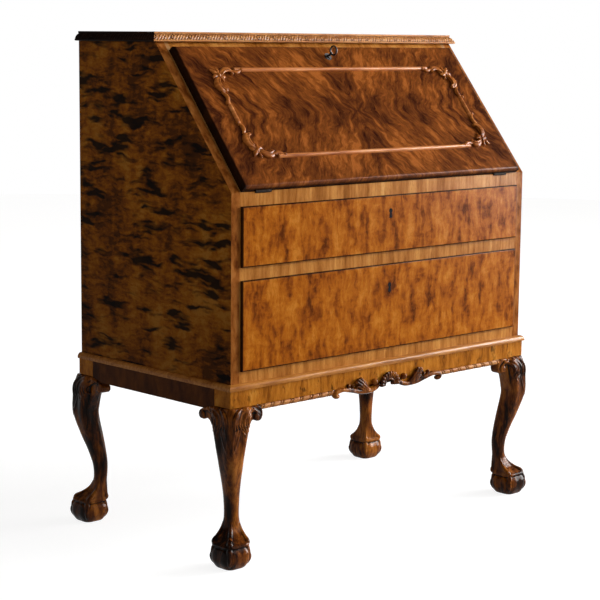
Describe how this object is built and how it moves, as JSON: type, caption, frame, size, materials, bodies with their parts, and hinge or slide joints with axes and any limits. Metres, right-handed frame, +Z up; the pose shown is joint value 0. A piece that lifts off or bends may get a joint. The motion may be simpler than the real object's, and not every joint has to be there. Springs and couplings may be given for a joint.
{
  "type": "fall front secretaire",
  "caption": "Slant-front writing desk with a hinged fall on stays, two long drawers, small inner drawers and pigeonholes, on a stand with carved cabriole legs.",
  "frame": {"origin": "on the floor, under the middle of the desk's box", "axes": "+X to the desk's right as its user faces it from the front, -Y towards the user, +Z up; left and right halves mirror about X = 0"},
  "size_m": [0.9374, 0.5324, 1.06],
  "materials": {
    "veneer_fall": "french-polished flame mahogany veneer",
    "veneer_drawer": "french-polished flame mahogany veneer, upright figure",
    "veneer_rail": "french-polished striped mahogany crossbanding",
    "veneer_side": "french-polished walnut burr veneer",
    "polished_top": "french-polished mahogany",
    "apron_veneer": "french-polished mahogany veneer",
    "carved_dark": "stained and polished carved mahogany",
    "bead_wood": "polished turned and run mahogany mouldings",
    "inner_wood": "waxed inner joinery",
    "drawer_wood": "plain oak drawer lining",
    "lining_paper": "waxed secondary mahogany",
    "steel_dark": "blackened iron",
    "brass": "aged brass",
    "screw_steel": "bright steel"
  },
  "bodies": {
    "desk": {"apron_back": "apron_veneer", "apron_front": "apron_veneer", "apron_left": "apron_veneer", "apron_right": "apron_veneer", "back_panel": "lining_paper", "bed_hinge_leaves": "brass", "bottom_rail": "veneer_rail", "case_bottom": "lining_paper", "case_screws": "screw_steel", "case_side_left": "veneer_side", "case_side_right": "veneer_side", "centre_carving": "carved_dark", "cheek_left": "inner_wood", "cheek_right": "inner_wood", "divider_rail": "veneer_rail", "drawer_runners": "drawer_wood", "drawer_stiles": "veneer_rail", "dust_board": "drawer_wood", "fall_rail": "veneer_rail", "interior_partitions": "inner_wood", "interior_shelf": "inner_wood", "knee_brackets": "carved_dark", "leg_back_left": "carved_dark", "leg_back_right": "carved_dark", "leg_front_left": "carved_dark", "leg_front_right": "carved_dark", "lock_staple": "brass", "pigeonhole_valance": "inner_wood", "rope_moulding": "bead_wood", "stand_cleats": "lining_paper", "stand_moulding": "bead_wood", "stay_plates": "brass", "top_board": "polished_top", "top_edge_moulding": "carved_dark", "top_rail": "veneer_rail", "writing_bed": "lining_paper"},
    "fall": {"fall_board": "veneer_fall", "fall_bead": "bead_wood", "fall_corner_carvings": "carved_dark", "fall_lock": "brass", "key_escutcheon": "brass", "fall_hinge_leaves": "brass", "stay_brackets": "brass"},
    "key": {"fall_key": "steel_dark"},
    "fall_bolt_slide": {"fall_bolt": "brass"},
    "stay_left": {"stay_arm_left": "brass"},
    "stay_right": {"stay_arm_right": "brass"},
    "upper_drawer": {"upper_drawer_front": "veneer_drawer", "upper_drawer_box": "drawer_wood", "upper_drawer_bottom": "drawer_wood", "upper_drawer_lock": "brass"},
    "upper_bolt": {"upper_drawer_bolt": "brass"},
    "lower_drawer": {"lower_drawer_front": "veneer_drawer", "lower_drawer_box": "drawer_wood", "lower_drawer_bottom": "drawer_wood", "lower_drawer_lock": "brass"},
    "lower_bolt": {"lower_drawer_bolt": "brass"},
    "inner_drawer_left": {"interior_drawer_left": "inner_wood"},
    "inner_drawer_centre": {"interior_drawer_centre": "inner_wood"},
    "inner_drawer_right": {"interior_drawer_right": "inner_wood"}
  },
  "joints": [
    {"name": "fall_hinge", "type": "hinge", "parent": "desk", "child": "fall", "pos_m": [0, -0.2425, 0.752], "axis": [1, 0, 0], "range_deg": [0, 128.85]},
    {"name": "key_turn", "type": "hinge", "parent": "fall", "child": "key", "pos_m": [0, -0.05483, 1.01048], "axis": [0, -0.7788, 0.6273], "range_deg": [0, 180]},
    {"name": "fall_bolt_throw", "type": "slide", "parent": "fall", "child": "fall_bolt_slide", "axis": [0, 0.6273, 0.7788], "range_m": [0, 0.00701]},
    {"name": "stay_left_pivot", "type": "hinge", "parent": "fall", "child": "stay_left", "pos_m": [-0.408, -0.18605, 0.80932], "axis": [1, 0, 0], "range_deg": [-107.69, 0]},
    {"name": "stay_right_pivot", "type": "hinge", "parent": "fall", "child": "stay_right", "pos_m": [0.408, -0.18605, 0.80932], "axis": [1, 0, 0], "range_deg": [-107.69, 0]},
    {"name": "upper_drawer_slide", "type": "slide", "parent": "desk", "child": "upper_drawer", "axis": [0, -1, 0], "range_m": [0, 0.285]},
    {"name": "upper_bolt_throw", "type": "slide", "parent": "upper_drawer", "child": "upper_bolt", "axis": [0, 0, 1], "range_m": [0, 0.007]},
    {"name": "lower_drawer_slide", "type": "slide", "parent": "desk", "child": "lower_drawer", "axis": [0, -1, 0], "range_m": [0, 0.285]},
    {"name": "lower_bolt_throw", "type": "slide", "parent": "lower_drawer", "child": "lower_bolt", "axis": [0, 0, 1], "range_m": [0, 0.007]},
    {"name": "inner_drawer_left_slide", "type": "slide", "parent": "desk", "child": "inner_drawer_left", "axis": [0, -1, 0], "range_m": [0, 0.14]},
    {"name": "inner_drawer_centre_slide", "type": "slide", "parent": "desk", "child": "inner_drawer_centre", "axis": [0, -1, 0], "range_m": [0, 0.14]},
    {"name": "inner_drawer_right_slide", "type": "slide", "parent": "desk", "child": "inner_drawer_right", "axis": [0, -1, 0], "range_m": [0, 0.14]}
  ],
  "couplings": [
    {"joint": "fall_bolt_throw", "follows": "key_turn", "m_per_rad": 0.0022282},
    {"joint": "stay_left_pivot", "follows": "fall_hinge", "ratio": -0.83499},
    {"joint": "stay_right_pivot", "follows": "fall_hinge", "ratio": -0.83499}
  ]
}
